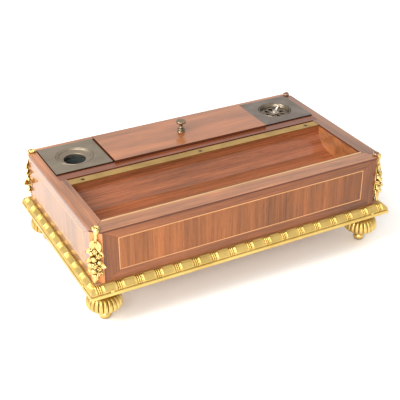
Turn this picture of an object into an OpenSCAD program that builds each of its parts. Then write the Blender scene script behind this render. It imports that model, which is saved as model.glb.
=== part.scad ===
// Desk inkstand: a veneered case with an open pen tray, an ink pot, a pounce pot
// and a lift-off lid, dressed with a gilt rim, corner mounts and four turned feet.
// The origin is on the surface that the feet stand on, under the middle of the case.
// +X runs along the case to the right, +Y to the back and +Z up. Sizes are millimetres.

/* [Case] */
// Length of the wooden case, left to right
case_len = 340; // [320:2:360]
// Depth of the wooden case, front to back
case_dep = 194; // [192:2:204]
// Height of the top above the surface that the feet stand on
case_top = 109; // [106:1:116]
// Thickness of the four carcass boards
board_t = 9; // [8.6:0.1:9.4]
// Thickness of the veneer, its banding and its stringing
veneer_t = 1; // [0.8:0.1:1.2]
// Width that the cant takes off each upright corner, along each side
cant = 9; // [6:0.5:9]
// Thickness of the rails that cap the boards
rail_t = 2; // [1.5:0.5:3]

/* [Veneer panels] */
// Height of the banding above the panel, measured from the top of the case
band_top = 11; // [8:0.5:14]
// Height of the banding below the panel, measured from the gilt rim
band_bottom = 10.5; // [8:0.5:12]
// Width of the banding at each end of a panel
band_end = 16; // [10:0.5:20]
// Width of the pale stringing line
string_w = 1; // [0.6:0.1:1.4]

/* [Base and rim] */
// Distance that the rim stands out from the case
rim_out = 8.4; // [7:0.2:9]
// Height of the rim
rim_h = 11.6; // [10:0.2:13]
// Height of the plain fillet at the foot of the rim
fillet_h = 4; // [3:0.2:5]
// Height that the base board sits up inside the rim
base_gap = 2; // [1:0.5:3]
// Distance of each rim screw from its mitre
rim_screw_in = 14; // [12:1:24]

/* [Feet] */
// Height of a foot below the rim
foot_h = 39; // [36:1:42]
// Largest radius of a foot
foot_r = 18.7; // [16:0.1:19]
// Distance of a foot's axis from the end of the case
foot_in_x = 12.6; // [12.4:0.1:20]
// Distance of a foot's axis from the front or the back of the case
foot_in_y = 13.1; // [12.4:0.1:20]
// Radius of the stud that holds a foot
stud_r = 2.5; // [2:0.25:3]

/* [Pen tray] */
// Width of the front rail
front_rail_w = 20; // [18:0.5:24]
// Width of the side rails beside the tray
side_rail_w = 17; // [15:0.5:20]
// Width of the tray's opening, front to back
tray_w = 79.5; // [74:0.5:82]
// Depth of the tray below the top
tray_depth = 26; // [22:1:28]
// Radius of the cove that runs down the back of the tray
cove_r = 23; // [16:1:23]
// Radius of the hollow along the front of the tray
front_cove_r = 8; // [5:1:12]
// Thickness of wood left under the tray
tray_floor_t = 5; // [4:1:8]
// Width of the pale bead along the tray's front edge
lip_w = 2; // [1.5:0.5:3]
// Width of the brass strip behind the tray
strip_w = 10.5; // [10:0.5:13]
// Thickness of the brass strip
strip_t = 1.7; // [1.2:0.1:2]
// Width of the groove behind the brass strip
groove_w = 2.2; // [0.8:0.1:3]
// Width of the rail between the groove and the wells
mid_rail_w = 11.6; // [10:0.1:13]
// Width of the back rail
back_rail_w = 7.5; // [7:0.5:9]

/* [Wells] */
// Width of each well, from the end board to the middle of the partition
well_w = 65; // [62:0.5:68]
// Thickness of each partition
partition_t = 8; // [7:0.5:10]
// Thickness of the square metal plates
plate_t = 2.2; // [1.8:0.1:2.6]
// Height that the plates stand above the top
plate_proud = 1.5; // [1:0.1:2]
// Gap between a plate and the wood around it
plate_gap = 0.3; // [0.3:0.1:0.5]
// Radius of the dished ring of the ink pot
ink_ring_r = 20.5; // [19.5:0.1:21.5]
// Radius of the mouth of the ink pot
ink_mouth_r = 12; // [10:0.5:12.5]
// Height of the glass ink pot
ink_pot_h = 46; // [36:1:48]
// Radius of the pierced cover of the pounce pot
cover_r = 19.2; // [18.4:0.1:19.6]
// Height of the pounce pot
pounce_pot_h = 30; // [24:1:44]

/* [Lid] */
// Thickness of the lid
lid_t = 2.8; // [2.4:0.1:4]
// Distance that the lid laps over the middle rail
lid_lap_front = 2.2; // [1.5:0.1:3]
// Distance that the lid laps over the back rail
lid_lap_back = 1.2; // [1:0.1:2]
// Gap at the left end of the lid
lid_gap_left = 1.2; // [0.5:0.1:2]
// Gap at the right end of the lid
lid_gap = 0.4; // [0.3:0.1:0.8]
// Height of the knob above the lid
knob_h = 14.4; // [13:0.1:18]
// Distance of the knob in front of the middle of the lid
knob_fwd = 2.5; // [0:0.5:4]

/* [Corner mounts] */
// Radius of the rosette at the head of a corner mount
rosette_r = 4; // [3.6:0.1:4]
// Distance that the middle of a rosette lies in from the cant
rosette_in = 2.6; // [2.5:0.1:2.7]
// Radius of the pins that hold the corner mounts
pin_r = 0.8; // [0.6:0.1:1]

/* [Hidden] */

round_fn = 64;
mid_fn = 32;
small_fn = 24;
// Distance that a cutting shape runs on past the face it cuts
over = 1;
rosewood = [0.62, 0.36, 0.25];
dark_rosewood = [0.50, 0.27, 0.18];
striped_rosewood = [0.72, 0.42, 0.26];
boxwood = [0.88, 0.70, 0.46];
carcass_oak = [0.66, 0.52, 0.36];
tray_wood = [0.58, 0.30, 0.17];
gilt = [0.90, 0.75, 0.32];
brass = [0.76, 0.62, 0.36];
grey_bronze = [0.50, 0.46, 0.40];
dark_bronze = [0.30, 0.22, 0.14];
pale_metal = [0.80, 0.75, 0.66];
clear_glass = [0.75, 0.82, 0.80];
steel = [0.55, 0.55, 0.56];

// Half sizes and the main levels of the case
half_x = case_len / 2;
half_y = case_dep / 2;
wall_t = board_t + veneer_t;
in_x = half_x - wall_t;
in_y = half_y - wall_t;
rim_top = foot_h + rim_h;
base_lo = foot_h + base_gap;
rail_lo = case_top - rail_t;
panel_lo = rim_top + band_bottom;
panel_hi = case_top - band_top;

// Pen tray, from front to back
tray_x = half_x - side_rail_w;
tray_y0 = -half_y + front_rail_w;
tray_y1 = tray_y0 + tray_w;
strip_y1 = tray_y1 + strip_w;
plank_y1 = strip_y1 + groove_w;
tray_lo = case_top - tray_depth;
plank_lo = tray_lo - tray_floor_t;

// Wells and the compartment between them
bay_y0 = plank_y1 + mid_rail_w;
bay_y1 = half_y - back_rail_w;
bay_y = (bay_y0 + bay_y1) / 2;
part_x = in_x - well_w;
well_x = (in_x + part_x) / 2;
plate_hi = case_top + plate_proud;
plate_lo = plate_hi - plate_t;
rest_gap = 0.2;
ledge_w = 3;
ledge_h = 6;

// Turned parts of the two pots, measured down from the top of their plates
flange_r = 23.5;
flange_t = 1.5;
pot_top = plate_lo - flange_t;
pot_neck_r = 22.4;
pot_body_r = 24.5;
ink_wall = 2.8;
ink_floor = 4;
pounce_wall = 1.2;
cover_gap = 0.3;
cover_mouth_r = cover_r - 2;
cover_floor = -4;
cover_t = 1.2;
cover_holes = 8;
cover_hole_r = 2.2;
cover_ring_r = 10.8;
boss_stem_r = 1.5;

// Lid
lid_lo = case_top + rest_gap;
lid_hi = lid_lo + lid_t;
lid_x0 = -part_x + lid_gap_left;
lid_x1 = part_x - lid_gap;
lid_x = (lid_x0 + lid_x1) / 2;
lid_y0 = bay_y0 - lid_lap_front;
lid_y1 = bay_y1 + lid_lap_back;
knob_y = (lid_y0 + lid_y1) / 2 - knob_fwd;
slot_depth = 4;
batten_w = 10;
batten_h = 4;
batten_gap = 0.6;
knob_screw_r = 1.6;
knob_screw_in = 7;

// Screws and pins
strip_screw_r = 1.2;
strip_screw_head_r = 2.2;
strip_screw_len = 10;
strip_screw_x = tray_x - 15;
rim_screw_r = 1.1;
rim_screw_head_r = 1.9;
rim_screw_z = foot_h + fillet_h + 1;
rim_screw_depth = 8;
rim_screw_sunk = 1;
rim_screw_head_h = 0.9;
stud_in_foot = 16;
stud_in_base = 8;

// The four sides as [turn about Z, distance of the face from the middle, half of its length]
FRONT = [0, half_y, half_x];
RIGHT = [90, half_x, half_y];
BACK = [180, half_y, half_x];
LEFT = [270, half_x, half_y];
SIDES = [FRONT, RIGHT, BACK, LEFT];

// The four corners as [sign of x, sign of y]
CORNERS = [[-1, -1], [1, -1], [-1, 1], [1, 1]];

// Where the mitre between two top rails meets the cant, at the front and at the back
front_share = cant / (side_rail_w + front_rail_w);
front_mitre = [half_x - front_share * side_rail_w, half_y - front_share * front_rail_w];
back_share = cant / (wall_t + back_rail_w);
back_mitre = [half_x - back_share * wall_t, half_y - back_share * back_rail_w];

// Points of an elliptical arc from angle a0 to a1, measured from the +x direction
function arc(centre, rx, ry, a0, a1, n) = [
    for (i = [0:n]) centre + [rx * cos(a0 + (a1 - a0) * i / n), ry * sin(a0 + (a1 - a0) * i / n)]
];

// ---- helpers ----

module block(x0, x1, y0, y1, z0, z1) {
    translate([x0, y0, z0]) cube([x1 - x0, y1 - y0, z1 - z0]);
}

// Puts a shape made for the back right corner at another corner
module at_corner(corner) {
    mirror([corner[0] < 0 ? 1 : 0, 0, 0]) mirror([0, corner[1] < 0 ? 1 : 0, 0]) children();
}

// Puts a shape made in the X-Z plane, with its outside towards -Y, on one of the sides
module on_side(side) {
    rotate([0, 0, side[0]]) translate([0, -side[1], 0]) children();
}

// A sheet as thick as the veneer on one side of the case, from a 2D outline of length and height
module veneer_sheet(side) {
    on_side(side) translate([0, veneer_t, 0]) rotate([90, 0, 0]) linear_extrude(veneer_t) children();
}

// A rectangle on a side, centred along it, between two heights
module side_rect(half, z0, z1) {
    translate([-half, z0]) square([2 * half, z1 - z0]);
}

// ---- carcass ----

module base_board() {
    color(carcass_oak)
    difference() {
        block(-half_x, half_x, -half_y, half_y, base_lo, rim_top);
        for (c = CORNERS)
            at_corner(c) translate([half_x - foot_in_x, half_y - foot_in_y, base_lo - 1])
                cylinder(r = stud_r, h = stud_in_base + 1, $fn = round_fn);
        for (s = SIDES)
            rim_screw_places(s) rotate([-90, 0, 0])
                translate([0, 0, -1]) cylinder(r = rim_screw_r, h = rim_screw_depth + 1, $fn = small_fn);
    }
}

module front_board() {
    color(carcass_oak) block(-in_x, in_x, -half_y + veneer_t, -in_y, rim_top, rail_lo);
}

module back_board() {
    color(carcass_oak) block(-in_x, in_x, bay_y1, half_y - veneer_t, rim_top, rail_lo);
}

module end_board() {
    color(carcass_oak) block(in_x, half_x - veneer_t, -in_y, in_y, rim_top, rail_lo);
}

module left_board() {
    mirror([1, 0, 0]) end_board();
}

module right_board() {
    end_board();
}

module corner_post(corner) {
    color(striped_rosewood)
    at_corner(corner)
    difference() {
        translate([0, 0, rim_top]) linear_extrude(rail_lo - rim_top) polygon([
            [in_x, in_y], [half_x, in_y], [half_x, half_y - cant],
            [half_x - cant, half_y], [in_x, half_y]
        ]);
        on_cant() mount_pin_places() translate([0, 0, -mount_pin_depth])
            cylinder(r = pin_r, h = mount_pin_depth + 1, $fn = small_fn);
    }
}

module divider_board() {
    color(carcass_oak) block(-in_x, in_x, plank_y1, bay_y0, rim_top, rail_lo);
}

// A partition carries the edge of a plate on its outer half; its inner half is lower,
// which leaves a slot between the plate and the end of the lid
module partition() {
    plate_rest = plate_lo - rest_gap;
    slot_floor = plate_rest - slot_depth;
    color(carcass_oak)
    translate([0, bay_y1, 0]) rotate([90, 0, 0]) linear_extrude(bay_y1 - bay_y0) polygon([
        [part_x - partition_t / 2, rim_top], [part_x + partition_t / 2, rim_top],
        [part_x + partition_t / 2, plate_rest], [part_x, plate_rest],
        [part_x, slot_floor], [part_x - partition_t / 2, slot_floor]
    ]);
}

module left_partition() {
    mirror([1, 0, 0]) partition();
}

module right_partition() {
    partition();
}

// Strips along the front and the back of each well, under the edges of its plate
module well_ledges() {
    top = plate_lo - rest_gap;
    color(carcass_oak)
    for (m = [0, 1]) mirror([m, 0, 0]) {
        block(part_x + partition_t / 2, in_x, bay_y0, bay_y0 + ledge_w, top - ledge_h, top);
        block(part_x + partition_t / 2, in_x, bay_y1 - ledge_w, bay_y1, top - ledge_h, top);
    }
}

// ---- pen tray ----

// A bar with its axis along X that cuts a hollow of radius r, with its lowest line on the tray floor
module hollow(y, r) {
    translate([-tray_x - 1, y, tray_lo + r]) rotate([0, 90, 0])
        cylinder(r = r, h = 2 * tray_x + 2, $fn = round_fn);
}

module pen_tray() {
    x = tray_x + 1;
    color(tray_wood)
    difference() {
        block(-tray_x, tray_x, -in_y, plank_y1, plank_lo, rail_lo);
        hollow(tray_y1 - cove_r, cove_r);
        hollow(tray_y0 + front_cove_r, front_cove_r);
        block(-x, x, tray_y0 + front_cove_r, tray_y1 - cove_r, tray_lo, case_top);
        block(-x, x, tray_y0, tray_y1 - cove_r, tray_lo + front_cove_r, case_top);
        block(-x, x, tray_y0, tray_y1, tray_lo + cove_r, case_top);
        strip_screw_places() translate([0, 0, -strip_screw_len])
            cylinder(r = strip_screw_r, h = strip_screw_len, $fn = small_fn);
    }
}

module tray_end() {
    color(tray_wood) block(tray_x, in_x, -in_y, plank_y1, plank_lo, rail_lo);
}

module tray_end_left() {
    mirror([1, 0, 0]) tray_end();
}

module tray_end_right() {
    tray_end();
}

// A bead with a half-round top let into the inner edge of the front rail
module tray_lip() {
    r = lip_w / 2;
    bead_z = case_top - r / 2;
    color(boxwood)
    union() {
        block(-tray_x, tray_x, tray_y0 - lip_w, tray_y0, rail_lo, bead_z);
        intersection() {
            translate([-tray_x, tray_y0 - r, bead_z]) rotate([0, 90, 0])
                cylinder(r = r, h = 2 * tray_x, $fn = mid_fn);
            block(-tray_x, tray_x, tray_y0 - lip_w, tray_y0, bead_z - r / 2, case_top + r);
        }
    }
}

module strip_screw_places() {
    for (x = [-strip_screw_x, 0, strip_screw_x])
        translate([x, tray_y1 + strip_w / 2, rail_lo + strip_t]) children();
}

module brass_strip() {
    color(brass)
    difference() {
        block(-tray_x, tray_x, tray_y1, strip_y1, rail_lo, rail_lo + strip_t);
        strip_screw_places() translate([0, 0, -strip_t - 1])
            cylinder(r = strip_screw_r, h = strip_t + 2, $fn = small_fn);
        strip_screw_places() translate([0, 0, -strip_screw_head_r + strip_screw_r])
            cylinder(r1 = strip_screw_r, r2 = strip_screw_head_r,
                     h = strip_screw_head_r - strip_screw_r, $fn = small_fn);
    }
}

module strip_screws() {
    head_h = strip_screw_head_r - strip_screw_r;
    slot_w = 0.6;
    slot_cut = 0.5;
    color(steel)
    strip_screw_places() difference() {
        union() {
            translate([0, 0, -head_h])
                cylinder(r1 = strip_screw_r, r2 = strip_screw_head_r, h = head_h, $fn = small_fn);
            translate([0, 0, -strip_screw_len])
                cylinder(r = strip_screw_r, h = strip_screw_len - head_h, $fn = small_fn);
        }
        translate([-strip_screw_head_r, -slot_w / 2, -slot_cut])
            cube([2 * strip_screw_head_r, slot_w, slot_cut + over]);
    }
}

// ---- top rails ----

module rail(outline) {
    color(rosewood) translate([0, 0, rail_lo]) linear_extrude(rail_t) polygon(outline);
}

module front_rail() {
    rail([
        [-half_x + cant, -half_y], [half_x - cant, -half_y], [front_mitre[0], -front_mitre[1]],
        [tray_x, tray_y0], [tray_x, tray_y0 - lip_w], [-tray_x, tray_y0 - lip_w],
        [-tray_x, tray_y0], [-front_mitre[0], -front_mitre[1]]
    ]);
}

module back_rail() {
    rail([
        [-in_x, bay_y1], [in_x, bay_y1], back_mitre,
        [half_x - cant, half_y], [-half_x + cant, half_y], [-back_mitre[0], back_mitre[1]]
    ]);
}

module end_rail() {
    rail([
        [front_mitre[0], -front_mitre[1]], [half_x, -half_y + cant], [half_x, half_y - cant],
        back_mitre, [in_x, bay_y1], [in_x, plank_y1], [tray_x, plank_y1], [tray_x, tray_y0]
    ]);
}

module left_rail() {
    mirror([1, 0, 0]) end_rail();
}

module right_rail() {
    end_rail();
}

module mid_rail() {
    color(rosewood) block(-in_x, in_x, plank_y1, bay_y0, rail_lo, case_top);
}

// ---- veneer, banding and stringing ----

// Half the length of the veneered face between two corner posts
function face_half(side) = side[2] - wall_t;

module veneer(side) {
    color(striped_rosewood)
    veneer_sheet(side)
        side_rect(face_half(side) - band_end - string_w, panel_lo + string_w, panel_hi - string_w);
}

module banding(side) {
    color(dark_rosewood)
    veneer_sheet(side) difference() {
        side_rect(face_half(side), rim_top, rail_lo);
        side_rect(face_half(side) - band_end, panel_lo, panel_hi);
    }
}

module stringing() {
    color(boxwood)
    for (side = SIDES) veneer_sheet(side) difference() {
        side_rect(face_half(side) - band_end, panel_lo, panel_hi);
        side_rect(face_half(side) - band_end - string_w, panel_lo + string_w, panel_hi - string_w);
    }
}

// ---- gilt rim ----

// Places on one side for the two screws that hold its rim, on the face of the case
module rim_screw_places(side) {
    on_side(side) for (x = [-1, 1])
        translate([x * (side[2] - rim_screw_in), 0, rim_screw_z]) children();
}

module rim(side) {
    lo = foot_h;
    shoulder = foot_h + fillet_h;
    outline = concat(
        [[0, lo], [rim_out, lo]],
        arc([0, shoulder], rim_out, rim_top - shoulder, 0, 90, 12)
    );
    half = side[2];
    color(gilt)
    difference() {
        on_side(side) intersection() {
            rotate([0, 0, -90]) rotate([90, 0, 0])
                translate([0, 0, -half - rim_out]) linear_extrude(2 * (half + rim_out))
                polygon(outline);
            translate([0, 0, lo - 1]) linear_extrude(rim_h + 2) polygon([
                [-half, 0], [half, 0], [half + rim_out, -rim_out], [-half - rim_out, -rim_out]
            ]);
        }
        rim_screw_places(side) rotate([90, 0, 0]) {
            cylinder(r = rim_screw_r, h = rim_out + over, $fn = small_fn);
            translate([0, 0, rim_out - rim_screw_sunk])
                cylinder(r = rim_screw_head_r, h = rim_screw_sunk + over, $fn = small_fn);
        }
    }
}

module rim_screws() {
    color(gilt)
    for (side = SIDES) rim_screw_places(side) rotate([90, 0, 0]) {
        translate([0, 0, -rim_screw_depth])
            cylinder(r = rim_screw_r, h = rim_screw_depth + rim_out - rim_screw_sunk, $fn = small_fn);
        translate([0, 0, rim_out - rim_screw_sunk])
            cylinder(r = rim_screw_head_r, h = rim_screw_head_h, $fn = small_fn);
    }
}

// ---- feet ----

bun_r = 6.2;
bun_z = 4.4;
bun_round = 3.2;
foot_neck_r = 5;
foot_neck_z = 8.6;
bowl_z = 19.5;
bowl_h = 9;
bowl_top = 33;
foot_collar_r = 12;
// Distance in from the collar to the middle of the shoulder's arc
shoulder_in = 2;
collar_hollow = 1.4;
collar_hollow_h = 3;

// Half section of a foot: a bun at the bottom, a wide bowl and a collar under the base board
function foot_outline() = concat(
    [[0, 0]],
    arc([bun_r - bun_round, bun_z], bun_round, bun_z, -90, 60, 8),
    [[foot_neck_r, foot_neck_z]],
    arc([0, bowl_z], foot_r, bowl_h, -73, 0, 12),
    arc([foot_collar_r - shoulder_in, bowl_z], foot_r - foot_collar_r + shoulder_in,
        bowl_top - bowl_z, 8, 78, 8),
    [[foot_collar_r - collar_hollow, bowl_top + 1]],
    [[foot_collar_r - collar_hollow, bowl_top + collar_hollow_h]],
    [[foot_collar_r, bowl_top + collar_hollow_h + 1], [foot_collar_r, base_lo], [0, base_lo]]
);

module foot(corner) {
    color(gilt)
    at_corner(corner) translate([half_x - foot_in_x, half_y - foot_in_y, 0])
    difference() {
        rotate_extrude($fn = round_fn) polygon(foot_outline());
        translate([0, 0, base_lo - stud_in_foot])
            cylinder(r = stud_r, h = stud_in_foot + 1, $fn = round_fn);
    }
}

module foot_studs() {
    color(steel)
    for (c = CORNERS)
        at_corner(c) translate([half_x - foot_in_x, half_y - foot_in_y, base_lo - stud_in_foot])
            cylinder(r = stud_r, h = stud_in_foot + stud_in_base, $fn = round_fn);
}

// ---- corner mounts ----

mount_top = case_top - 1;
mount_t = 1.8;
strap_w = 3.2;
strap_len = 52;
// Distance that the strap stops below the top of its rosette
strap_short = 0.4;
rosette_t = 1.6;
rosette_heart_r = 2.4;
rosette_heart_h = 1;
ground_w = 0.5;
// Part of a fruit's radius that its middle stands out from the back
fruit_rise = 0.5;
mount_pin_z = [mount_top - 22, mount_top - 44];
mount_pin_depth = 4;
mount_pin_in_back = 1;

// Moves to the middle of the back right cant: +Z points out of its face and +Y points up
module on_cant() {
    translate([half_x - cant / 2, half_y - cant / 2, 0])
        rotate([0, 0, 135]) rotate([90, 0, 0]) children();
}

module mount_pin_places() {
    for (z = mount_pin_z) translate([0, z, 0]) children();
}

// Fruit down the drop as [across, below the top, radius], no two of them touching
fruit = [
    [0, 20, 2.6], [-3.8, 24.6, 2.4], [3.8, 25.6, 2.6], [0, 30.2, 3.2], [-4.2, 34.6, 2.4],
    [4.5, 35.6, 2.6], [0, 40.4, 3.2], [-3.6, 45.2, 2.2], [3.6, 45.8, 2.2], [0, 50.6, 2.6]
];

// Leaves as [across, below the top, length, width, angle of the tip from straight up]
leaves = [
    [0, 9, 9, 4.2, 180], [-1.5, 12, 9, 4.4, 150], [1.5, 12, 9, 4.4, 210],
    [-2.5, 28, 8, 4, 100], [2.5, 34, 10, 5, 262], [-2.5, 40, 7, 4, 110], [2.5, 45, 7, 3.6, 240]
];

// A pointed leaf, its stalk at the origin and its tip along +Y
module leaf(len, wid) {
    n = 6;
    side = [for (i = [1:n - 1]) [wid / 2 * sin(180 * i / n), len * i / n]];
    polygon(concat([[0, 0]], side, [[0, len]], [for (i = [n - 2:-1:0]) [-side[i][0], side[i][1]]]));
}

// Flat back of a mount: a strap, the leaves and a ground round each fruit in one outline
module mount_back() {
    translate([-strap_w / 2, mount_top - strap_len]) square([strap_w, strap_len]);
    for (f = fruit) translate([f[0], mount_top - f[1]]) circle(r = f[2] + ground_w, $fn = 12);
    for (l = leaves)
        translate([l[0], mount_top - l[1]]) rotate([0, 0, l[4]]) leaf(l[2], l[3]);
}

// The strap runs on up to a rosette that lies flat on the top of the corner
module mount_head() {
    translate([-strap_w / 2, mount_top - over, 0])
        cube([strap_w, case_top + rosette_t - strap_short - mount_top + over, mount_t]);
    translate([0, case_top, -rosette_in]) rotate([-90, 0, 0]) {
        cylinder(r = rosette_r, h = rosette_t, $fn = mid_fn);
        cylinder(r = rosette_heart_r, h = rosette_t + rosette_heart_h, $fn = mid_fn);
    }
}

module corner_mount(corner) {
    color(gilt)
    at_corner(corner) on_cant() difference() {
        union() {
            linear_extrude(mount_t) mount_back();
            mount_head();
            for (f = fruit) translate([f[0], mount_top - f[1], mount_t + f[2] * fruit_rise])
                rotate([0, 0, 45]) sphere(r = f[2], $fn = small_fn);
        }
        mount_pin_places() translate([0, 0, -1])
            cylinder(r = pin_r, h = mount_pin_in_back + 1, $fn = small_fn);
    }
}

module mount_pins() {
    color(brass)
    for (c = CORNERS) at_corner(c) on_cant() mount_pin_places()
        translate([0, 0, -mount_pin_depth])
            cylinder(r = pin_r, h = mount_pin_depth + mount_pin_in_back, $fn = small_fn);
}

// ---- lid ----

module lid_panel() {
    color(rosewood)
    difference() {
        block(lid_x0, lid_x1, lid_y0, lid_y1, lid_lo, lid_hi);
        translate([lid_x, knob_y, lid_lo - 1]) cylinder(r = knob_screw_r, h = lid_t + 2, $fn = small_fn);
    }
}

// Battens that fit inside the compartment and keep the lid in its place
module lid_battens() {
    edge = part_x - partition_t / 2 - batten_gap;
    color(carcass_oak)
    for (m = [0, 1]) mirror([m, 0, 0])
        block(edge - batten_w, edge, bay_y0 + batten_gap, bay_y1 - batten_gap,
              lid_lo - batten_h, lid_lo);
}

// Turned knob: a collar, a thin waist and a flat round head
module lid_knob() {
    head_r = 5.9;
    head_round = 1.4;
    collar_r = 4.7;
    waist_r = 2.1;
    color(dark_bronze)
    translate([lid_x, knob_y, lid_hi])
    difference() {
        rotate_extrude($fn = round_fn) polygon(concat(
            [[0, 0], [collar_r - 0.6, 0], [collar_r, 0.8], [collar_r - 0.6, 1.8]],
            arc([waist_r, 4.2], 1.8, 2, -60, 60, 6),
            [[waist_r, 7], [waist_r, knob_h - 4.6]],
            arc([head_r - head_round, knob_h - 1.8], head_round, 1.2, -90, 60, 6),
            [[head_r - 2.4, knob_h - 0.4], [0, knob_h]]
        ));
        translate([0, 0, -1]) cylinder(r = knob_screw_r, h = knob_screw_in + 1, $fn = small_fn);
    }
}

module knob_screw() {
    head_r = 3.4;
    head_h = 1.6;
    color(steel)
    translate([lid_x, knob_y, lid_lo]) {
        translate([0, 0, -head_h]) cylinder(r = head_r, h = head_h, $fn = mid_fn);
        cylinder(r = knob_screw_r, h = lid_t + knob_screw_in, $fn = small_fn);
    }
}

// ---- ink pot and pounce pot ----

// Square plate over the right well, with a round hole in the middle
module well_plate(hole_r) {
    difference() {
        block(part_x + plate_gap, in_x - plate_gap, bay_y0 + plate_gap, bay_y1 - plate_gap,
              plate_lo, plate_hi);
        translate([well_x, bay_y, plate_lo - 1]) cylinder(r = hole_r, h = plate_t + 2, $fn = round_fn);
    }
}

module ink_plate() {
    color(grey_bronze) mirror([1, 0, 0]) well_plate(ink_ring_r);
}

// Turned ring that steps down and slopes in to the mouth of the ink pot
module ink_ring() {
    step_r = ink_ring_r - 2;
    lip = 1.9;
    step_d = 0.6;
    mouth_d = 3.8;
    throat_d = 6;
    color(grey_bronze)
    translate([-well_x, bay_y, plate_hi])
    rotate_extrude($fn = round_fn) polygon([
        [ink_ring_r, -step_d], [step_r, -step_d], [step_r - 0.4, -step_d - 0.8],
        [ink_mouth_r + 1.2, -mouth_d + 0.5], [ink_mouth_r, -mouth_d], [ink_mouth_r, -throat_d],
        [ink_mouth_r + lip, -throat_d], [ink_mouth_r + lip + 1, -throat_d + 0.8],
        [step_r, -plate_t - flange_t], [flange_r, -plate_t - flange_t],
        [flange_r, -plate_t], [ink_ring_r, -plate_t]
    ]);
}

// Half section of a round pot that hangs under its plate, with its neck at the top
pot_base_round = 3;
pot_inner_round = 1;
pot_neck_h = 7;
pot_shoulder_h = 10;
pot_mouth_h = 2;
function pot_outline(h, wall, floor_t, mouth_r) =
    let (neck_in = pot_neck_r - wall, body_in = pot_body_r - wall)
    [
        [0, -h], [pot_body_r - pot_base_round, -h], [pot_body_r, -h + pot_base_round],
        [pot_body_r, -pot_shoulder_h], [pot_neck_r, -pot_neck_h], [pot_neck_r, 0],
        [mouth_r, 0], [mouth_r, -pot_mouth_h], [neck_in, -pot_mouth_h - neck_in + mouth_r],
        [neck_in, -pot_neck_h - 1], [body_in, -pot_shoulder_h - 1],
        [body_in, -h + floor_t + pot_inner_round], [body_in - pot_inner_round, -h + floor_t],
        [0, -h + floor_t]
    ];

module ink_pot() {
    color(clear_glass)
    translate([-well_x, bay_y, pot_top])
    rotate_extrude($fn = round_fn)
        polygon(pot_outline(ink_pot_h, ink_wall, ink_floor, pot_neck_r - ink_wall - 0.6));
}

// The pounce plate has a collar under it that the neck of its pot fits against
module pounce_plate() {
    hole_r = cover_r + cover_gap;
    color(grey_bronze)
    union() {
        well_plate(hole_r);
        translate([well_x, bay_y, plate_lo - flange_t]) difference() {
            cylinder(r = flange_r, h = flange_t, $fn = round_fn);
            translate([0, 0, -1]) cylinder(r = hole_r, h = flange_t + 2, $fn = round_fn);
        }
    }
}

// Lift-off dished cover, pierced with a ring of holes round its boss
module pounce_cover() {
    rim_w = 1.3;
    rim_top_d = 0.4;
    seat = -plate_t - flange_t + rest_gap;
    dish_r = cover_mouth_r - cover_gap;
    hole_z = cover_floor - cover_t - over;
    hole_h = cover_t + 2 * over;
    color(grey_bronze)
    translate([well_x, bay_y, plate_hi])
    difference() {
        rotate_extrude($fn = round_fn) polygon([
            [0, cover_floor], [dish_r - 1.4, cover_floor], [cover_r - rim_w - 0.6, cover_floor + 1.6],
            [cover_r - rim_w, -rim_top_d], [cover_r, -rim_top_d], [cover_r, seat], [dish_r, seat],
            [dish_r, cover_floor - cover_t], [0, cover_floor - cover_t]
        ]);
        for (i = [0:cover_holes - 1])
            rotate([0, 0, i * 360 / cover_holes]) translate([cover_ring_r, 0, hole_z])
                cylinder(r = cover_hole_r, h = hole_h, $fn = mid_fn);
        translate([0, 0, hole_z]) cylinder(r = boss_stem_r, h = hole_h, $fn = small_fn);
    }
}

// Domed boss with a short slanting thumb piece to lift the cover by
module cover_boss() {
    thumb = [5.6, 1.4, 7];
    thumb_r = 2.4;
    thumb_stem_r = 1.2;
    thumb_len = norm(thumb);
    end_z = -cover_t - 0.8;
    color(pale_metal)
    translate([well_x, bay_y, plate_hi + cover_floor])
    union() {
        rotate_extrude($fn = mid_fn) polygon([
            [0, end_z], [boss_stem_r, end_z], [boss_stem_r, 0], [4.6, 0], [4.8, 0.8],
            [3.4, 1.3], [3.2, 2.2], [2.2, 3.2], [0, 3.6]
        ]);
        rotate([0, acos(thumb[2] / thumb_len), atan2(thumb[1], thumb[0])]) {
            cylinder(r = thumb_stem_r, h = thumb_len, $fn = small_fn);
            translate([0, 0, thumb_len]) sphere(r = thumb_r, $fn = small_fn);
        }
    }
}

module pounce_pot() {
    color(brass)
    translate([well_x, bay_y, pot_top])
    rotate_extrude($fn = round_fn)
        polygon(pot_outline(pounce_pot_h, pounce_wall, pounce_wall, cover_mouth_r));
}

base_board();
front_board();
back_board();
left_board();
right_board();
corner_post([-1, -1]);  // corner_post_front_left
corner_post([1, -1]);  // corner_post_front_right
corner_post([-1, 1]);  // corner_post_back_left
corner_post([1, 1]);  // corner_post_back_right
divider_board();
left_partition();
right_partition();
well_ledges();
pen_tray();
tray_end_left();
tray_end_right();
tray_lip();
front_rail();
back_rail();
left_rail();
right_rail();
mid_rail();
brass_strip();
strip_screws();
veneer(FRONT);  // front_veneer
veneer(BACK);  // back_veneer
veneer(LEFT);  // left_veneer
veneer(RIGHT);  // right_veneer
banding(FRONT);  // front_banding
banding(BACK);  // back_banding
banding(LEFT);  // left_banding
banding(RIGHT);  // right_banding
stringing();
rim(FRONT);  // rim_front
rim(BACK);  // rim_back
rim(LEFT);  // rim_left
rim(RIGHT);  // rim_right
rim_screws();
foot([-1, -1]);  // foot_front_left
foot([1, -1]);  // foot_front_right
foot([-1, 1]);  // foot_back_left
foot([1, 1]);  // foot_back_right
foot_studs();
corner_mount([-1, -1]);  // corner_mount_front_left
corner_mount([1, -1]);  // corner_mount_front_right
corner_mount([-1, 1]);  // corner_mount_back_left
corner_mount([1, 1]);  // corner_mount_back_right
mount_pins();
lid_panel();
lid_battens();
lid_knob();
knob_screw();
ink_plate();
ink_ring();
ink_pot();
pounce_plate();
pounce_cover();
cover_boss();
pounce_pot();
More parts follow.
